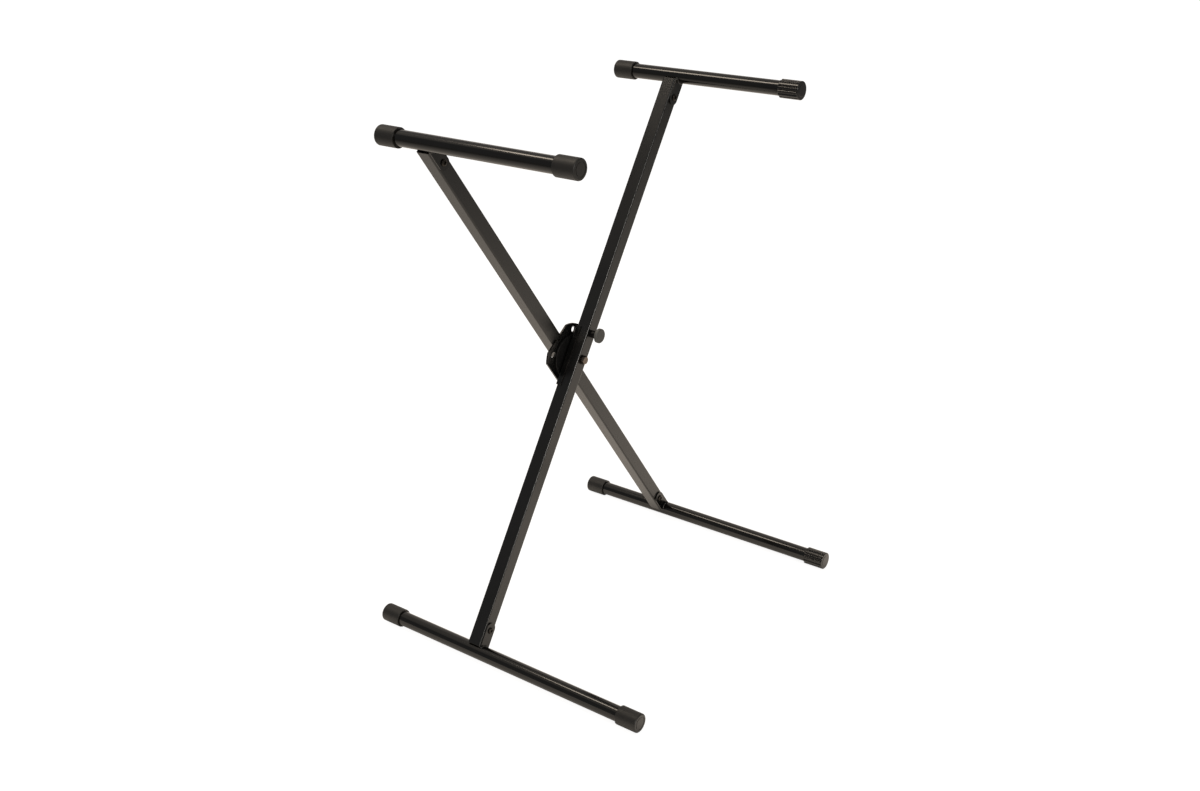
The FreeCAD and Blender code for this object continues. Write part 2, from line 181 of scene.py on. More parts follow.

# Black lacquer over rolled sheet: darker and glossier than the legs, with the sheet's fine grain showing
# through, paler where neighbours have rubbed it, and pale along the sheared edges, which is partly the
# lacquer worn thin there and partly a painted highlight on each edge. The real grain is too fine to show, so
# it is drawn coarser.
plate_lacquer, tree, place = new_material("black_sheet_lacquer")
rubbed = add(tree, "ShaderNodeTexNoise", {"Vector": place, "Scale": 1 / RUBBED_PITCH, "Detail": 5})
worn = add(tree, "ShaderNodeMapRange", {"Value": rubbed.outputs["Fac"], "From Min": 0.5, "From Max": 0.75})
rub = add(tree, "ShaderNodeMix", {
    0: worn.outputs["Result"], 6: linear(PLATE_BLACK), 7: linear(PLATE_RUBBED)}, data_type="RGBA")
rounded = add(tree, "ShaderNodeBevel", {"Radius": PLATE_EDGE_REACH}, samples=4)
turned = add(tree, "ShaderNodeVectorMath", {
    0: rounded.outputs["Normal"], 1: add(tree, "ShaderNodeNewGeometry", {}).outputs["Normal"]},
    operation="DOT_PRODUCT")
# Pale sheared edges: partly worn lacquer, partly a painted highlight along each edge.
edge = add(tree, "ShaderNodeMapRange", {
    "Value": turned.outputs["Value"], "From Min": EDGE_STARTS, "From Max": EDGE_FULL,
    "To Max": rubbed.outputs["Fac"]})
colour = add(tree, "ShaderNodeMix", {
    0: edge.outputs["Result"], 6: rub.outputs[2], 7: linear(PLATE_EDGE_WEAR_AND_HIGHLIGHT)}, data_type="RGBA")
sheen = add(tree, "ShaderNodeMapRange", {"Value": worn.outputs["Result"], "To Min": 0.2, "To Max": 0.36})
grain = add(tree, "ShaderNodeTexNoise", {"Vector": place, "Scale": 1 / SHEET_GRAIN, "Detail": 2})
bump = add(tree, "ShaderNodeBump", {"Distance": SHEET_GRAIN_HEIGHT, "Height": grain.outputs["Fac"]})
lacquer = add(tree, "ShaderNodeBsdfPrincipled", {
    "Base Color": colour.outputs[2], "Roughness": sheen.outputs["Result"], "IOR": 1.5,
    "Normal": bump.outputs["Normal"]})
add(tree, "ShaderNodeOutputMaterial", {"Surface": lacquer.outputs["BSDF"]})
dress(plate_lacquer, "front_leg_saddle", "clutch_plate", *[bar + "_bracket" for bar in BARS])

# The welds: a bead along each tab's hollow end, where it meets the bar, and short stitches that hold the
# clutch plate to the sides of the rear leg. Each is a row of overlapping ripples, lacquered with the plates.

BEAD_RADIUS = 1.8 * MM
BEAD_RIPPLE = 1.5 * MM
RIPPLE_SHARE = 0.85  # a ripple's length along the bead, beside its width
RIPPLE_LEAST = 0.88  # the hand's unevenness: how small and how large a ripple comes out
RIPPLE_MOST = 1.08
BEAD_HALF_ANGLE = math.radians(50)
BEAD_STEPS = 24
STITCH_SPANS = ((-34 * MM, -14 * MM), (14 * MM, 34 * MM))
STITCH_INSET = 0.6 * MM
WELD_SEED = 4


def new_shape_tree(name, sockets):
    """Empty node tree for shapes: its inputs by name and kind, and one geometry output."""
    tree = bpy.data.node_groups.new(name, "GeometryNodeTree")
    for socket, kind in sockets:
        tree.interface.new_socket(socket, in_out="INPUT", socket_type=kind)
    tree.interface.new_socket("Shape", in_out="OUTPUT", socket_type="NodeSocketGeometry")
    return tree, add(tree, "NodeGroupInput", {}).outputs


def grow(tree, host_mesh, name, sizes):
    """Runs a shape tree on a host mesh with its inputs set, and leaves the result as a plain mesh object."""
    host = bpy.data.objects.new(name + "_host", host_mesh)
    bpy.context.scene.collection.objects.link(host)
    modifier = host.modifiers.new(name, "NODES")
    modifier.node_group = tree
    for socket in tree.interface.items_tree:
        if socket.in_out == "INPUT" and socket.name in sizes:
            modifier[socket.identifier] = sizes[socket.name]
    graph = bpy.context.evaluated_depsgraph_get()
    mesh = bpy.data.meshes.new_from_object(host.evaluated_get(graph))
    bpy.data.objects.remove(host)
    piece = bpy.data.objects.new(name, mesh)
    bpy.context.scene.collection.objects.link(piece)
    return piece


def centre_of(node):
    """Middle of a CAD node's box."""
    low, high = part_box(node)
    return (low + high) / 2


def bare_edges(name, runs):
    """Mesh of bare edges along each run of points."""
    points = []
    edges = []
    for run in runs:
        edges += [(len(points) + at, len(points) + at + 1) for at in range(len(run) - 1)]
        points += run
    mesh = bpy.data.meshes.new(name)
    mesh.from_pydata(points, edges, [])
    return mesh


weld_tree, given = new_shape_tree("ripple_weld", (
    ("Path", "NodeSocketGeometry"), ("Ripple", "NodeSocketFloat"), ("Bead Radius", "NodeSocketFloat"),
    ("Lacquer", "NodeSocketMaterial")))
path = add(weld_tree, "GeometryNodeMeshToCurve", {"Mesh": given["Path"]})
places = add(weld_tree, "GeometryNodeCurveToPoints", {
    "Curve": path.outputs["Curve"], "Length": given["Ripple"]}, mode="LENGTH")
drop = add(weld_tree, "GeometryNodeMeshIcoSphere", {"Radius": 1, "Subdivisions": 3})
size = add(weld_tree, "FunctionNodeRandomValue", {
    2: RIPPLE_LEAST, 3: RIPPLE_MOST, "Seed": WELD_SEED}, data_type="FLOAT")
radius = add(weld_tree, "ShaderNodeMath", {
    0: size.outputs[1], 1: given["Bead Radius"]}, operation="MULTIPLY")
length = add(weld_tree, "ShaderNodeMath", {
    0: radius.outputs[0], 1: RIPPLE_SHARE}, operation="MULTIPLY")
scale = add(weld_tree, "ShaderNodeCombineXYZ", {
    "X": radius.outputs[0], "Y": radius.outputs[0], "Z": length.outputs[0]})
ripples = add(weld_tree, "GeometryNodeInstanceOnPoints", {
    "Points": places.outputs["Points"], "Instance": drop.outputs["Mesh"],
    "Rotation": places.outputs["Rotation"], "Scale": scale.outputs[0]})
real = add(weld_tree, "GeometryNodeRealizeInstances", {"Geometry": ripples.outputs[0]})
smooth = add(weld_tree, "GeometryNodeSetShadeSmooth", {"Geometry": real.outputs[0]})
painted = add(weld_tree, "GeometryNodeSetMaterial", {
    "Geometry": smooth.outputs[0], "Material": given["Lacquer"]})
add(weld_tree, "NodeGroupOutput", {"Shape": painted.outputs[0]})

pivot = Vector(frame["joints"][0]["pos_m"])
for body in ("front_leg", "rear_leg"):
    runs = []
    for bar in BARS:
        if frame["nodes"][bar + "_tube"]["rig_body"] != body:
            continue
        low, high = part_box(bar + "_tube")
        bar_radius = (high.x - low.x) / 2
        middle = centre_of(bar + "_tube")
        middle.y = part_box(bar + "_bracket")[0].y
        inward = Vector((pivot.x - middle.x, 0, pivot.z - middle.z)).normalized()
        across = Vector((inward.z, 0, -inward.x))
        turns = [BEAD_HALF_ANGLE * (2 * at / BEAD_STEPS - 1) for at in range(BEAD_STEPS + 1)]
        runs.append([middle + bar_radius * (inward * math.cos(a) + across * math.sin(a)) for a in turns])
    if body == "rear_leg":
        low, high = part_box("rear_leg_tube")
        leg_half = (high.y - low.y) / 2
        upward = (centre_of("left_support_tube") - centre_of("right_foot_tube")).normalized()
        across = Vector((upward.z, 0, -upward.x))
        seam = Vector((pivot.x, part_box("clutch_plate")[1].y + STITCH_INSET, pivot.z))
        for side in (-1, 1):
            edge = seam + across * side * (leg_half - STITCH_INSET)
            runs += [[edge + upward * start, edge + upward * end] for start, end in STITCH_SPANS]
    welds = grow(weld_tree, bare_edges(body + "_weld_paths", runs), body + "_welds", {
        "Ripple": BEAD_RIPPLE, "Bead Radius": BEAD_RADIUS, "Lacquer": plate_lacquer})
    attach(welds, body)

# The screws that hold tabs to legs: button heads with a hexagon socket, and the nuts welded inside the legs.
# They are carbon steel with a black zinc finish.

BLACK_ZINC = "#2b2927"
BLACK_ZINC_THIN = "#4a4540"
PLATING_PITCH = 3 * MM

# Black zinc plate: a dark metal that still mirrors, thinner and browner in cloudy spots.
black_zinc, tree, place = new_material("black_zinc_steel")
cloud = add(tree, "ShaderNodeTexNoise", {"Vector": place, "Scale": 1 / PLATING_PITCH, "Detail": 4})
colour = add(tree, "ShaderNodeMix", {
    0: cloud.outputs["Fac"], 6: linear(BLACK_ZINC), 7: linear(BLACK_ZINC_THIN)}, data_type="RGBA")
sheen = add(tree, "ShaderNodeMapRange", {"Value": cloud.outputs["Fac"], "To Min": 0.22, "To Max": 0.42})
metal = add(tree, "ShaderNodeBsdfPrincipled", {
    "Base Color": colour.outputs[2], "Metallic": 1, "Roughness": sheen.outputs["Result"]})
add(tree, "ShaderNodeOutputMaterial", {"Surface": metal.outputs["BSDF"]})
dress(black_zinc, *[bar + fastener for bar in BARS for fastener in ("_bolt", "_nut")])

# The plain end caps: six cups of black rubber pushed over the bar ends, with a moulded ring on the closed
# end. They are the stand's feet below, and stop the keyboard from sliding off above.

RIBBED_CAPS = ("right_support_cap_front", "right_foot_cap_front")
RUBBER_BLACK = "#161514"
RUBBER_BLOOM = "#262320"
BLOOM_PITCH = 25 * MM
MOULD_GRAIN = 0.9 * MM
MOULD_GRAIN_HEIGHT = 0.012 * MM
END_FACING = 0.9  # a normal this far along the bar belongs to the closed end

# Moulded rubber: a dark grey black with a broad low sheen on its grained sides, a smoother face on the closed
# end, and a brownish bloom in patches where the rubber has aged. The grain is drawn coarser than the mould's.
cap_rubber, tree, place = new_material("moulded_rubber")
bloom = add(tree, "ShaderNodeTexNoise", {"Vector": place, "Scale": 1 / BLOOM_PITCH, "Detail": 3})
colour = add(tree, "ShaderNodeMix", {
    0: bloom.outputs["Fac"], 6: linear(RUBBER_BLACK), 7: linear(RUBBER_BLOOM)}, data_type="RGBA")
sheen = add(tree, "ShaderNodeMapRange", {"Value": bloom.outputs["Fac"], "To Min": 0.45, "To Max": 0.6})
facing = add(tree, "ShaderNodeSeparateXYZ", {0: add(tree, "ShaderNodeTexCoord", {}).outputs["Normal"]})
endwise = add(tree, "ShaderNodeMath", {0: facing.outputs["Y"]}, operation="ABSOLUTE")
polish = add(tree, "ShaderNodeMapRange", {
    "Value": endwise.outputs[0], "From Min": END_FACING, "To Min": sheen.outputs["Result"], "To Max": 0.24})
grain = add(tree, "ShaderNodeTexNoise", {"Vector": place, "Scale": 1 / MOULD_GRAIN, "Detail": 3})
bump = add(tree, "ShaderNodeBump", {"Distance": MOULD_GRAIN_HEIGHT, "Height": grain.outputs["Fac"]})
rubber = add(tree, "ShaderNodeBsdfPrincipled", {
    "Base Color": colour.outputs[2], "Roughness": polish.outputs["Result"], "IOR": 1.55,
    "Normal": bump.outputs["Normal"]})
add(tree, "ShaderNodeOutputMaterial", {"Surface": rubber.outputs["BSDF"]})
caps = [bar + end for bar in BARS for end in ("_cap_front", "_cap_rear")]
dress(cap_rubber, *[cap for cap in caps if cap not in RIBBED_CAPS])

# The ribbed caps on the near ends of the two right-hand bars: the odd ones out, moulded in soft vinyl, with
# broad ribs along them that run out short of the closed end.

GRIP_BLACK = "#12100f"
GRIP_RIBS = 14
GRIP_STEPS_PER_RIB = 16
GRIP_TURNS = (10, -8)  # degrees that each cap was pushed on turned, in the order of RIBBED_CAPS
GRIP_GROOVE = 1.7 * MM
GRIP_SQUARENESS = 8  # 2 gives an even wave, more gives broader tops and narrower grooves
GRIP_EDGE = 1.2 * MM
GRIP_MOUTH_EDGE = 0.6 * MM
GRIP_FLOOR = 4 * MM
GRIP_RUN_OUT = 1.4 * MM
GRIP_DISC_RADIUS = 10.2 * MM
GRIP_DISC_RAISE = 0.6 * MM
GRIP_HOLD = 0.15 * MM  # keeps the flat beside an edge flat when the skin is shaded smooth
GRIP_SCUFF_PITCH = 1.2 * MM
GRIP_SCUFF_HEIGHT = 0.004 * MM
ARC_STEPS = 6


def lathe(name, profile, steps):
    """Closed mesh turned about Y from a loop of (radius, y) points; radius 0 is a point on the axis."""
    shape = bmesh.new()
    turns = [2 * math.pi * at / steps for at in range(steps)]
    rings = []
    for radius, y in profile:
        spots = [(radius * math.cos(a), y, radius * math.sin(a)) for a in turns] if radius else [(0, y, 0)]
        rings.append([shape.verts.new(spot) for spot in spots])
    for near, far in zip(rings, rings[1:] + rings[:1]):
        for at in range(steps):
            after = (at + 1) % steps
            corners = (near[at % len(near)], near[after % len(near)],
                       far[after % len(far)], far[at % len(far)])
            distinct = list(dict.fromkeys(corners))
            if len(distinct) > 2:
                shape.faces.new(distinct)
    bmesh.ops.recalc_face_normals(shape, faces=shape.faces)
    mesh = bpy.data.meshes.new(name)
    shape.to_mesh(mesh)
    shape.free()
    return mesh


# Moulded vinyl: blacker and shinier than the rubber, so each rib carries its own line of light.
vinyl, tree, place = new_material("moulded_vinyl")
scuff = add(tree, "ShaderNodeTexNoise", {"Vector": place, "Scale": 1 / GRIP_SCUFF_PITCH, "Detail": 3})
sheen = add(tree, "ShaderNodeMapRange", {"Value": scuff.outputs["Fac"], "To Min": 0.14, "To Max": 0.26})
bump = add(tree, "ShaderNodeBump", {"Distance": GRIP_SCUFF_HEIGHT, "Height": scuff.outputs["Fac"]})
skin = add(tree, "ShaderNodeBsdfPrincipled", {
    "Base Color": linear(GRIP_BLACK), "Roughness": sheen.outputs["Result"], "IOR": 1.52,
    "Normal": bump.outputs["Normal"]})
add(tree, "ShaderNodeOutputMaterial", {"Surface": skin.outputs["BSDF"]})

# The groove between two ribs is cut from the round skin: a sine goes round with the ribs, raised to a power
# so that it is deep only between them, and the skin's own "ribbed" share says how deep it may go.
rib_tree, given = new_shape_tree("moulded_ribs", (
    ("Skin", "NodeSocketGeometry"), ("Ribs", "NodeSocketFloat"), ("Groove", "NodeSocketFloat"),
    ("Squareness", "NodeSocketFloat"), ("Vinyl", "NodeSocketMaterial")))
round_skin = add(rib_tree, "GeometryNodeInputPosition", {})
spot = add(rib_tree, "ShaderNodeSeparateXYZ", {0: round_skin.outputs[0]})
turn = add(rib_tree, "ShaderNodeMath", {0: spot.outputs["Z"], 1: spot.outputs["X"]}, operation="ARCTAN2")
half_ribs = add(rib_tree, "ShaderNodeMath", {0: given["Ribs"], 1: 2}, operation="DIVIDE")
phase = add(rib_tree, "ShaderNodeMath", {0: turn.outputs[0], 1: half_ribs.outputs[0]}, operation="MULTIPLY")
wave = add(rib_tree, "ShaderNodeMath", {0: phase.outputs[0]}, operation="SINE")
side = add(rib_tree, "ShaderNodeMath", {0: wave.outputs[0]}, operation="ABSOLUTE")
trough = add(rib_tree, "ShaderNodeMath", {0: side.outputs[0], 1: given["Squareness"]}, operation="POWER")
share = add(rib_tree, "GeometryNodeInputNamedAttribute", {"Name": "ribbed"}, data_type="FLOAT")
cut = add(rib_tree, "ShaderNodeMath", {0: trough.outputs[0], 1: share.outputs[0]}, operation="MULTIPLY")
depth = add(rib_tree, "ShaderNodeMath", {0: cut.outputs[0], 1: given["Groove"]}, operation="MULTIPLY")
radial = add(rib_tree, "ShaderNodeCombineXYZ", {"X": spot.outputs["X"], "Z": spot.outputs["Z"]})
outward = add(rib_tree, "ShaderNodeVectorMath", {0: radial.outputs[0]}, operation="NORMALIZE")
inset = add(rib_tree, "ShaderNodeVectorMath", {
    0: outward.outputs[0], "Scale": depth.outputs[0]}, operation="SCALE")
grooved = add(rib_tree, "ShaderNodeVectorMath", {
    0: round_skin.outputs[0], 1: inset.outputs[0]}, operation="SUBTRACT")
ribbed = add(rib_tree, "GeometryNodeSetPosition", {"Geometry": given["Skin"], "Position": grooved.outputs[0]})
real = add(rib_tree, "GeometryNodeRealizeInstances", {"Geometry": ribbed.outputs[0]})
smooth = add(rib_tree, "GeometryNodeSetShadeSmooth", {"Geometry": real.outputs[0]})
moulded = add(rib_tree, "GeometryNodeSetMaterial", {
    "Geometry": smooth.outputs[0], "Material": given["Vinyl"]})
add(rib_tree, "NodeGroupOutput", {"Shape": moulded.outputs[0]})

low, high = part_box("right_support_cap_front")
grip_radius = (high.x - low.x) / 2
grip_length = high.y - low.y
tube_low, tube_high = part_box("right_support_tube")
grip_bore = (tube_high.x - tube_low.x) / 2
quarter = [math.pi / 2 * at / ARC_STEPS for at in range(ARC_STEPS + 1)]
step_radius = GRIP_DISC_RADIUS - GRIP_DISC_RAISE
profile = [(0, 0), (step_radius - GRIP_HOLD, 0), (step_radius, 0), (GRIP_DISC_RADIUS, GRIP_DISC_RAISE)]
profile += [(GRIP_DISC_RADIUS + GRIP_HOLD, GRIP_DISC_RAISE)]
profile += [(grip_radius - GRIP_EDGE * (1 - math.sin(a)), GRIP_DISC_RAISE + GRIP_EDGE * (1 - math.cos(a)))
            for a in quarter]
run_out_start = GRIP_DISC_RAISE + GRIP_EDGE
profile += [(grip_radius, run_out_start + GRIP_RUN_OUT * (1 - math.cos(a))) for a in quarter[1:]]
profile += [(grip_radius, run_out_start + GRIP_RUN_OUT + GRIP_HOLD)]
profile += [(grip_radius, grip_length - GRIP_MOUTH_EDGE - GRIP_HOLD)]
profile += [(grip_radius, grip_length - GRIP_MOUTH_EDGE), (grip_radius - GRIP_MOUTH_EDGE, grip_length)]
profile += [(grip_bore + GRIP_HOLD, grip_length), (grip_bore, grip_length), (grip_bore, GRIP_FLOOR)]
profile += [(0, GRIP_FLOOR)]
skin_mesh = lathe("ribbed_cap_skin", profile, GRIP_RIBS * GRIP_STEPS_PER_RIB)
ribbed_share = skin_mesh.attributes.new("ribbed", "FLOAT", "POINT")
for vertex in skin_mesh.vertices:
    outside = math.hypot(vertex.co.x, vertex.co.z) > grip_bore + GRIP_MOUTH_EDGE
    along = min(max((vertex.co.y - run_out_start) / GRIP_RUN_OUT, 0), 1)
    ribbed_share.data[vertex.index].value = math.sqrt(1 - (1 - along) ** 2) if outside else 0
for cap, degrees in zip(RIBBED_CAPS, GRIP_TURNS):
    grip = grow(rib_tree, skin_mesh, cap.replace("cap_front", "ribbed_skin"), {
        "Ribs": GRIP_RIBS, "Groove": GRIP_GROOVE, "Squareness": GRIP_SQUARENESS, "Vinyl": vinyl})
    axis = centre_of(cap.replace("cap_front", "tube"))
    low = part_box(cap)[0]
    grip.data.transform(
        Matrix.Translation((axis.x, low.y, axis.z)) @ Matrix.Rotation(math.radians(-degrees), 4, "Y"))
    for vertex in grip.data.vertices:
        vertex.co.z = max(vertex.co.z, low.z)  # the foot's ribs are pressed flat where it stands
    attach(grip, frame["nodes"][cap]["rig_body"])
    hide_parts(cap)

# The spacer disc between the legs and the guide bush of the spring pin: turned from black nylon rod, one on
# the pivot in front of the clutch plate, the other pushed into the front leg with its neck standing out.

NYLON_BLACK = "#060606"
TURNING_PITCH = 4.4 * MM
TURNING_HEIGHT = 0.01 * MM
WAVE_RATE = 20  # radians that the wave node's sine turns in one unit, at scale 1

# Nylon: waxy black with a soft sheen, and rings from the tool across its faces, drawn much coarser than a
# lathe leaves them so that they show.
nylon, tree, place = new_material("black_nylon")
about_pivot = add(tree, "ShaderNodeMapping", {"Vector": place, "Location": -pivot})
rings = add(tree, "ShaderNodeTexWave", {
    "Vector": about_pivot.outputs[0], "Scale": 2 * math.pi / (WAVE_RATE * TURNING_PITCH), "Distortion": 0.4},
    wave_type="RINGS", rings_direction="Y")
bump = add(tree, "ShaderNodeBump", {"Distance": TURNING_HEIGHT, "Height": rings.outputs["Fac"]})
sheen = add(tree, "ShaderNodeMapRange", {"Value": rings.outputs["Fac"], "To Min": 0.38, "To Max": 0.46})
wax = add(tree, "ShaderNodeBsdfPrincipled", {
    "Base Color": linear(NYLON_BLACK), "Roughness": sheen.outputs["Result"], "Specular IOR Level": 0.3,
    "Normal": bump.outputs["Normal"]})
add(tree, "ShaderNodeOutputMaterial", {"Surface": wax.outputs["BSDF"]})
dress(nylon, "spacer_disc", "pin_guide")

# The pivot: a hexagon bolt through both legs, black washers under its head and its lock nut, and a steel bush
# in each leg, which keeps the tubes from being crushed.

BOLT_NICKEL = "#857b72"
BOLT_TARNISH = "#5a5048"
TARNISH_PITCH = 4 * MM
BUSH_ZINC = "#b8b4ac"
BUSH_CLOUD = "#8f8b84"

# Tarnished nickel plate: a brownish mirror with brighter and duller spots, bright on the facet that faces the
# light.
nickel, tree, place = new_material("tarnished_nickel_steel")
tarnish = add(tree, "ShaderNodeTexNoise", {"Vector": place, "Scale": 1 / TARNISH_PITCH, "Detail": 4})
colour = add(tree, "ShaderNodeMix", {
    0: tarnish.outputs["Fac"], 6: linear(BOLT_NICKEL), 7: linear(BOLT_TARNISH)}, data_type="RGBA")
sheen = add(tree, "ShaderNodeMapRange", {"Value": tarnish.outputs["Fac"], "To Min": 0.12, "To Max": 0.3})
metal = add(tree, "ShaderNodeBsdfPrincipled", {
    "Base Color": colour.outputs[2], "Metallic": 1, "Roughness": sheen.outputs["Result"]})
add(tree, "ShaderNodeOutputMaterial", {"Surface": metal.outputs["BSDF"]})
dress(nickel, "pivot_bolt", "pivot_nut")
dress(black_zinc, "pivot_washer_front", "pivot_washer_rear")

# Bright zinc plate: a pale grey mirror with a cloudy bloom.
zinc, tree, place = new_material("bright_zinc_steel")
cloud = add(tree, "ShaderNodeTexNoise", {"Vector": place, "Scale": 1 / PLATING_PITCH, "Detail": 4})
colour = add(tree, "ShaderNodeMix", {
    0: cloud.outputs["Fac"], 6: linear(BUSH_ZINC), 7: linear(BUSH_CLOUD)}, data_type="RGBA")
sheen = add(tree, "ShaderNodeMapRange", {"Value": cloud.outputs["Fac"], "To Min": 0.2, "To Max": 0.35})
metal = add(tree, "ShaderNodeBsdfPrincipled", {
    "Base Color": colour.outputs[2], "Metallic": 1, "Roughness": sheen.outputs["Result"]})
add(tree, "ShaderNodeOutputMaterial", {"Surface": metal.outputs["BSDF"]})
dress(zinc, "front_pivot_bush", "rear_pivot_bush", "pin_clip", "lock_spring")

# The thread on the pivot bolt's tail, past the nut, and the nylon ring in the back of the lock nut that grips
# it: a rolled coarse thread, and a ring pressed into the nut's collar.

THREAD_PITCH = 1.25 * MM
THREAD_RIDGE = 0.36 * MM
THREAD_SINK = 0.2 * MM
THREAD_STEPS = 40
THREAD_SIDES = 3
BOLT_RADIUS = 4 * MM
RING_RADIUS = 4.9 * MM
RING_WIDTH = 1.4 * MM
RING_STEPS = 48
RING_PROUD = 0.35 * MM

thread_tree, given = new_shape_tree("rolled_thread", (
    ("Host", "NodeSocketGeometry"), ("Turns", "NodeSocketFloat"), ("Radius", "NodeSocketFloat"),
    ("Length", "NodeSocketFloat"), ("Ridge", "NodeSocketFloat"), ("Metal", "NodeSocketMaterial")))
helix = add(thread_tree, "GeometryNodeCurveSpiral", {
    "Resolution": THREAD_STEPS, "Rotations": given["Turns"], "Start Radius": given["Radius"],
    "End Radius": given["Radius"], "Height": given["Length"]})
section = add(thread_tree, "GeometryNodeCurvePrimitiveCircle", {
    "Resolution": THREAD_SIDES, "Radius": given["Ridge"]})
ridge = add(thread_tree, "GeometryNodeCurveToMesh", {
    "Curve": helix.outputs["Curve"], "Profile Curve": section.outputs["Curve"], "Fill Caps": True})
real = add(thread_tree, "GeometryNodeRealizeInstances", {"Geometry": ridge.outputs[0]})
plated = add(thread_tree, "GeometryNodeSetMaterial", {
    "Geometry": real.outputs[0], "Material": given["Metal"]})
add(thread_tree, "NodeGroupOutput", {"Shape": plated.outputs[0]})

nut_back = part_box("pivot_nut")[1].y
bolt_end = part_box("pivot_bolt")[1].y
thread_length = bolt_end - nut_back - THREAD_PITCH / 2
thread = grow(thread_tree, bpy.data.meshes.new("pivot_thread_host"), "pivot_thread", {
    "Turns": thread_length / THREAD_PITCH, "Radius": BOLT_RADIUS - THREAD_SINK, "Length": thread_length,
    "Ridge": THREAD_RIDGE, "Metal": nickel})
thread.data.transform(
    Matrix.Translation((pivot.x, nut_back, pivot.z)) @ Matrix.Rotation(math.radians(-90), 4, "X"))
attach(thread, "front_leg")

ring_profile = [(RING_RADIUS - RING_WIDTH / 2, -RING_PROUD), (RING_RADIUS - RING_WIDTH / 2, RING_PROUD / 2),
                (RING_RADIUS - RING_WIDTH / 4, RING_PROUD), (RING_RADIUS + RING_WIDTH / 4, RING_PROUD),
                (RING_RADIUS + RING_WIDTH / 2, RING_PROUD / 2), (RING_RADIUS + RING_WIDTH / 2, -RING_PROUD)]
ring_mesh = lathe("pivot_lock_ring", ring_profile, RING_STEPS)
ring_mesh.transform(Matrix.Translation((pivot.x, nut_back, pivot.z)))
ring_mesh.materials.append(nylon)
ring = bpy.data.objects.new("pivot_lock_ring", ring_mesh)
bpy.context.scene.collection.objects.link(ring)
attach(ring, "front_leg")

# The spring pin and its pull knob: a blackened steel pin that slides in the guide, held in by a clip and a
# spring inside the leg, with a flat round knob of grey ABS pressed onto its end.

PIN_BLACK = "#1c1b1a"
PIN_POLISH = "#34322f"
POLISH_PITCH = 2 * MM
KNOB_FACE = "#383836"
# The rim's colour: a painted highlight, paler than the face.
KNOB_RIM_PAINTED_HIGHLIGHT = "#686864"
KNOB_GRAIN = 0.8 * MM
KNOB_GRAIN_HEIGHT = 0.02 * MM
KNOB_SPECK = 0.2
KNOB_RIM_HIGHLIGHT_SHARE = 0.8
MERGE_GAP = 0.001 * MM

# Blackened steel: a dark oxide skin, polished in streaks where the pin slides.
oxide, tree, place = new_material("blackened_steel")
streak = add(tree, "ShaderNodeTexNoise", {"Vector": place, "Scale": 1 / POLISH_PITCH, "Detail": 3})
colour = add(tree, "ShaderNodeMix", {
    0: streak.outputs["Fac"], 6: linear(PIN_BLACK), 7: linear(PIN_POLISH)}, data_type="RGBA")
sheen = add(tree, "ShaderNodeMapRange", {"Value": streak.outputs["Fac"], "To Min": 0.3, "To Max": 0.45})
metal = add(tree, "ShaderNodeBsdfPrincipled", {
    "Base Color": colour.outputs[2], "Metallic": 1, "Roughness": sheen.outputs["Result"]})
add(tree, "ShaderNodeOutputMaterial", {"Surface": metal.outputs["BSDF"]})
dress(oxide, "lock_pin")

# The return spring closes up as the pin is pulled. Here it is the CAD coil in its rest shape, merged and
# shaded smooth, standing in place of the CAD node.
coil_shape = bmesh.new()
coil_shape.from_mesh(frame["nodes"]["lock_spring"].data)
bmesh.ops.remove_doubles(coil_shape, verts=coil_shape.verts, dist=MERGE_GAP)
coil_mesh = bpy.data.meshes.new("return_spring")
coil_shape.to_mesh(coil_mesh)
coil_shape.free()
coil_mesh.shade_smooth()
coil_mesh.materials.append(zinc)
coil = bpy.data.objects.new("return_spring", coil_mesh)
bpy.context.scene.collection.objects.link(coil)
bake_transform(coil)
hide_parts("lock_spring")

# Moulded ABS: mid grey with a fine spark-eroded grain that keeps the disc matt, and a painted highlight that
# makes the rim paler than the face. The real grain is finer than a pixel, so it is drawn much coarser.
abs_plastic, tree, place = new_material("grained_grey_abs")
grain = add(tree, "ShaderNodeTexNoise", {"Vector": place, "Scale": 1 / KNOB_GRAIN, "Detail": 2})
facing = add(tree, "ShaderNodeSeparateXYZ", {0: add(tree, "ShaderNodeTexCoord", {}).outputs["Normal"]})
flat = add(tree, "ShaderNodeMath", {0: facing.outputs["Y"]}, operation="ABSOLUTE")
# Painted highlight: where the surface turns away from the front, the rim is painted paler than the face.
painted_rim_highlight = add(tree, "ShaderNodeMapRange", {
    "Value": flat.outputs[0], "From Min": 0.95, "From Max": 0.4, "To Min": 0, "To Max": KNOB_RIM_HIGHLIGHT_SHARE})
speck = add(tree, "ShaderNodeMath", {
    0: grain.outputs["Fac"], 1: KNOB_SPECK, 2: painted_rim_highlight.outputs["Result"]}, operation="MULTIPLY_ADD")
colour = add(tree, "ShaderNodeMix", {
    0: speck.outputs[0], 6: linear(KNOB_FACE), 7: linear(KNOB_RIM_PAINTED_HIGHLIGHT)}, data_type="RGBA")
bump = add(tree, "ShaderNodeBump", {"Distance": KNOB_GRAIN_HEIGHT, "Height": grain.outputs["Fac"]})
plastic = add(tree, "ShaderNodeBsdfPrincipled", {
    "Base Color": colour.outputs[2], "Roughness": 0.5, "IOR": 1.54, "Normal": bump.outputs["Normal"]})
add(tree, "ShaderNodeOutputMaterial", {"Surface": plastic.outputs["BSDF"]})
dress(abs_plastic, "pull_knob")

# The studio floor: a wide white sheet, with a painted pool of light round the stand. To the camera it is
# lifted to white and its own lit surface keeps the stand's shadow; mirrored in the paint, its colour is
# painted darker away from the stand, a painted glow lights it round the stand, and painted contact shadow
# dims that glow beside the bars.

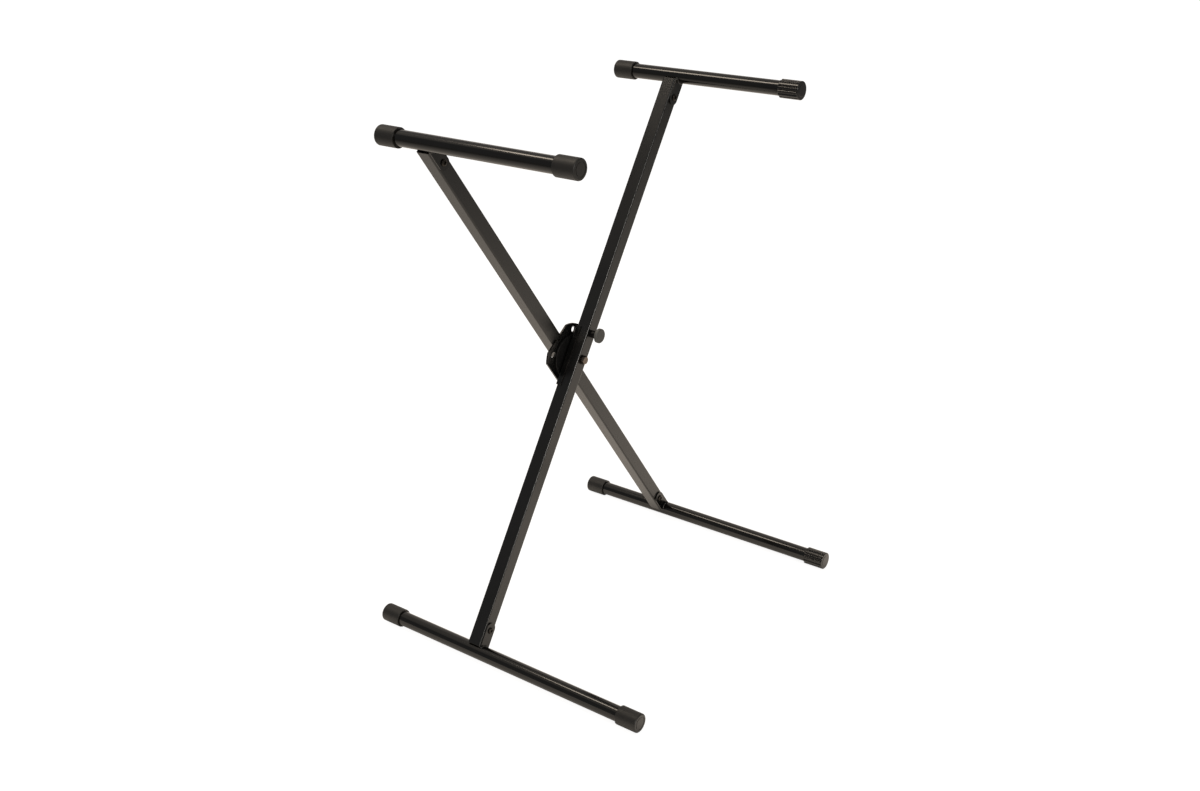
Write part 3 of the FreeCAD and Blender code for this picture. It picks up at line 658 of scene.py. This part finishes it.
FLOOR_REACH = 40
FLOOR_DROP = 0.1 * MM
FLOOR_PAPER = "#ebebeb"
# The paper's colour far from the stand: painted shade, darker where the light would fall off.
FLOOR_PAINTED_SHADE_FAR = "#aaaaaa"
FLOOR_SHADED = "#a0a0a0"
PAINTED_POOL_WARM = "#ffeeda"
POOL_CENTRE = (0.35, 0, 0)
POOL_NEAR = 0.2
POOL_FAR = 4.6
# Strength of the painted pool of light that mirrored rays see round the stand.
PAINTED_POOL_GLOW = 0.68
POOL_FALL_OFF = 2
PAINTED_CONTACT_SHADOW_REACH = 0.12
WHITE_LIFT = 0.9

floor_mesh = bpy.data.meshes.new("studio_floor")
corners = [(x * FLOOR_REACH, y * FLOOR_REACH, -FLOOR_DROP) for x, y in ((-1, -1), (1, -1), (1, 1), (-1, 1))]
floor_mesh.from_pydata(corners, [], [(0, 1, 2, 3)])
floor = bpy.data.objects.new("studio_floor", floor_mesh)
bpy.context.scene.collection.objects.link(floor)

paper, tree, place = new_material("white_studio_paper")
ray = add(tree, "ShaderNodeLightPath", {})
# Painted light: the pool runs from full near the stand to none far off, and sets the painted glow and the
# painted shade.
reach = add(tree, "ShaderNodeVectorMath", {0: place, 1: POOL_CENTRE}, operation="DISTANCE")
pool = add(tree, "ShaderNodeMapRange", {
    "Value": reach.outputs["Value"], "From Min": POOL_NEAR, "From Max": POOL_FAR, "To Min": 1, "To Max": 0})
fall_off = add(tree, "ShaderNodeMath", {0: pool.outputs["Result"], 1: POOL_FALL_OFF}, operation="POWER")
# Painted contact shadow: ambient occlusion dims the painted glow beside the bars.
painted_contact_shadow = add(tree, "ShaderNodeAmbientOcclusion", {"Distance": PAINTED_CONTACT_SHADOW_REACH}, samples=8)
pool_with_painted_contact_shadow = add(tree, "ShaderNodeMath", {
    0: fall_off.outputs[0], 1: painted_contact_shadow.outputs["AO"]}, operation="MULTIPLY")
mirrored = add(tree, "ShaderNodeMath", {
    0: ray.outputs["Is Glossy Ray"], 1: ray.outputs["Is Transmission Ray"]}, operation="MAXIMUM")
shown = add(tree, "ShaderNodeMapRange", {
    "Value": mirrored.outputs[0], "To Min": 0, "To Max": PAINTED_POOL_GLOW})
strength = add(tree, "ShaderNodeMath", {
    0: pool_with_painted_contact_shadow.outputs[0], 1: shown.outputs["Result"]}, operation="MULTIPLY")
# Painted shade: the paper's colour is darker away from the stand.
colour = add(tree, "ShaderNodeMix", {
    0: pool.outputs["Result"], 6: linear(FLOOR_PAINTED_SHADE_FAR), 7: linear(FLOOR_PAPER)}, data_type="RGBA")
sheet = add(tree, "ShaderNodeBsdfDiffuse", {"Color": colour.outputs[2]})
# The painted pool of light: a warm emission on the floor, which only mirrored rays see.
glow = add(tree, "ShaderNodeEmission", {"Color": linear(PAINTED_POOL_WARM), "Strength": strength.outputs[0]})
sheet_with_painted_pool = add(tree, "ShaderNodeAddShader", {0: sheet.outputs[0], 1: glow.outputs[0]})
shaded = add(tree, "ShaderNodeBsdfDiffuse", {"Color": linear(FLOOR_SHADED)})
white = add(tree, "ShaderNodeEmission", {"Color": (1, 1, 1, 1), "Strength": WHITE_LIFT})
lifted = add(tree, "ShaderNodeAddShader", {0: shaded.outputs[0], 1: white.outputs[0]})
either = add(tree, "ShaderNodeMixShader", {
    0: ray.outputs["Is Camera Ray"], 1: sheet_with_painted_pool.outputs[0], 2: lifted.outputs[0]})
add(tree, "ShaderNodeOutputMaterial", {"Surface": either.outputs[0]})
floor_mesh.materials.append(paper)

# The light: the dim room all round with a faint glow overhead, a soft box to the front left, which draws the
# line along the front leg's corner, a strip box above and behind, mirrored in the near half of each bar, and
# the white backdrop behind the stand, mirrored along the tops of the floor bars.

ROOM_LEVEL = 0.2
world = bpy.data.worlds.new("studio_room")
bpy.context.scene.world = world
world.use_nodes = True
tree = world.node_tree
tree.nodes.clear()
ray = add(tree, "ShaderNodeLightPath", {})
level = add(tree, "ShaderNodeMapRange", {
    "Value": ray.outputs["Is Camera Ray"], "To Min": ROOM_LEVEL, "To Max": 1})
room = add(tree, "ShaderNodeBackground", {"Color": (1, 1, 1, 1), "Strength": level.outputs["Result"]})
add(tree, "ShaderNodeOutputWorld", {"Surface": room.outputs[0]})

# Each far light: the way towards it, its power, its breadth in degrees and its colour.
DISTANT_LIGHTS = (
    ("overhead_glow", (0, 0.2, 0.98), 0.4, 80, "#fff0dc"),
    ("front_soft_box", (-0.41, -0.83, 0.375), 1.1, 16, "#fffaf2"),
)
for name, direction, power, breadth, tone in DISTANT_LIGHTS:
    light = bpy.data.lights.new(name, "SUN")
    light.energy = power
    light.angle = math.radians(breadth)
    light.color = linear(tone)[:3]
    lamp = bpy.data.objects.new(name, light)
    bpy.context.scene.collection.objects.link(lamp)
    lamp.rotation_mode = "QUATERNION"
    lamp.rotation_quaternion = Vector(direction).to_track_quat("Z", "Y")

# Each near light: where it stands, where it aims, its width and height, its power and its colour.
NEAR_LIGHTS = (
    ("strip_soft_box", (-0.4, 1.2, 3), (0, 0, 0.45), 0.5, 1, 14, "#fff0dc"),
    ("white_backdrop", (1.66, 1.28, 1.15), (0, 0, 1.15), 3, 2.3, 9, "#fff0e0"),
)
for name, stand, aim, width, height, power, tone in NEAR_LIGHTS:
    light = bpy.data.lights.new(name, "AREA")
    light.shape = "RECTANGLE"
    light.size = width
    light.size_y = height
    light.energy = power
    light.color = linear(tone)[:3]
    lamp = bpy.data.objects.new(name, light)
    bpy.context.scene.collection.objects.link(lamp)
    lamp.location = stand
    lamp.rotation_mode = "QUATERNION"
    lamp.rotation_quaternion = (Vector(stand) - Vector(aim)).to_track_quat("Z", "Y")
    lamp.visible_camera = False

# The camera: to the left and in front of the stand at chest height, looking down at it, as the photograph
# was taken.

CAMERA_PLACE = (-1.6840, -1.2784, 1.3330)
CAMERA_HEADING = -52.416
CAMERA_DIP = 24.045
CAMERA_ROLL = -1.338
CAMERA_LENS = 41.216
CAMERA_SENSOR = 36

camera_data = bpy.data.cameras.new("camera")
camera_data.sensor_width = CAMERA_SENSOR
camera_data.lens = CAMERA_LENS
camera = bpy.data.objects.new("camera", camera_data)
bpy.context.scene.collection.objects.link(camera)
camera.matrix_world = (
    Matrix.Translation(CAMERA_PLACE)
    @ Matrix.Rotation(math.radians(CAMERA_HEADING), 4, "Z")
    @ Matrix.Rotation(math.radians(90 - CAMERA_DIP), 4, "X")
    @ Matrix.Rotation(math.radians(CAMERA_ROLL), 4, "Z"))
bpy.context.scene.camera = camera
bpy.context.scene.view_settings.view_transform = "Standard"
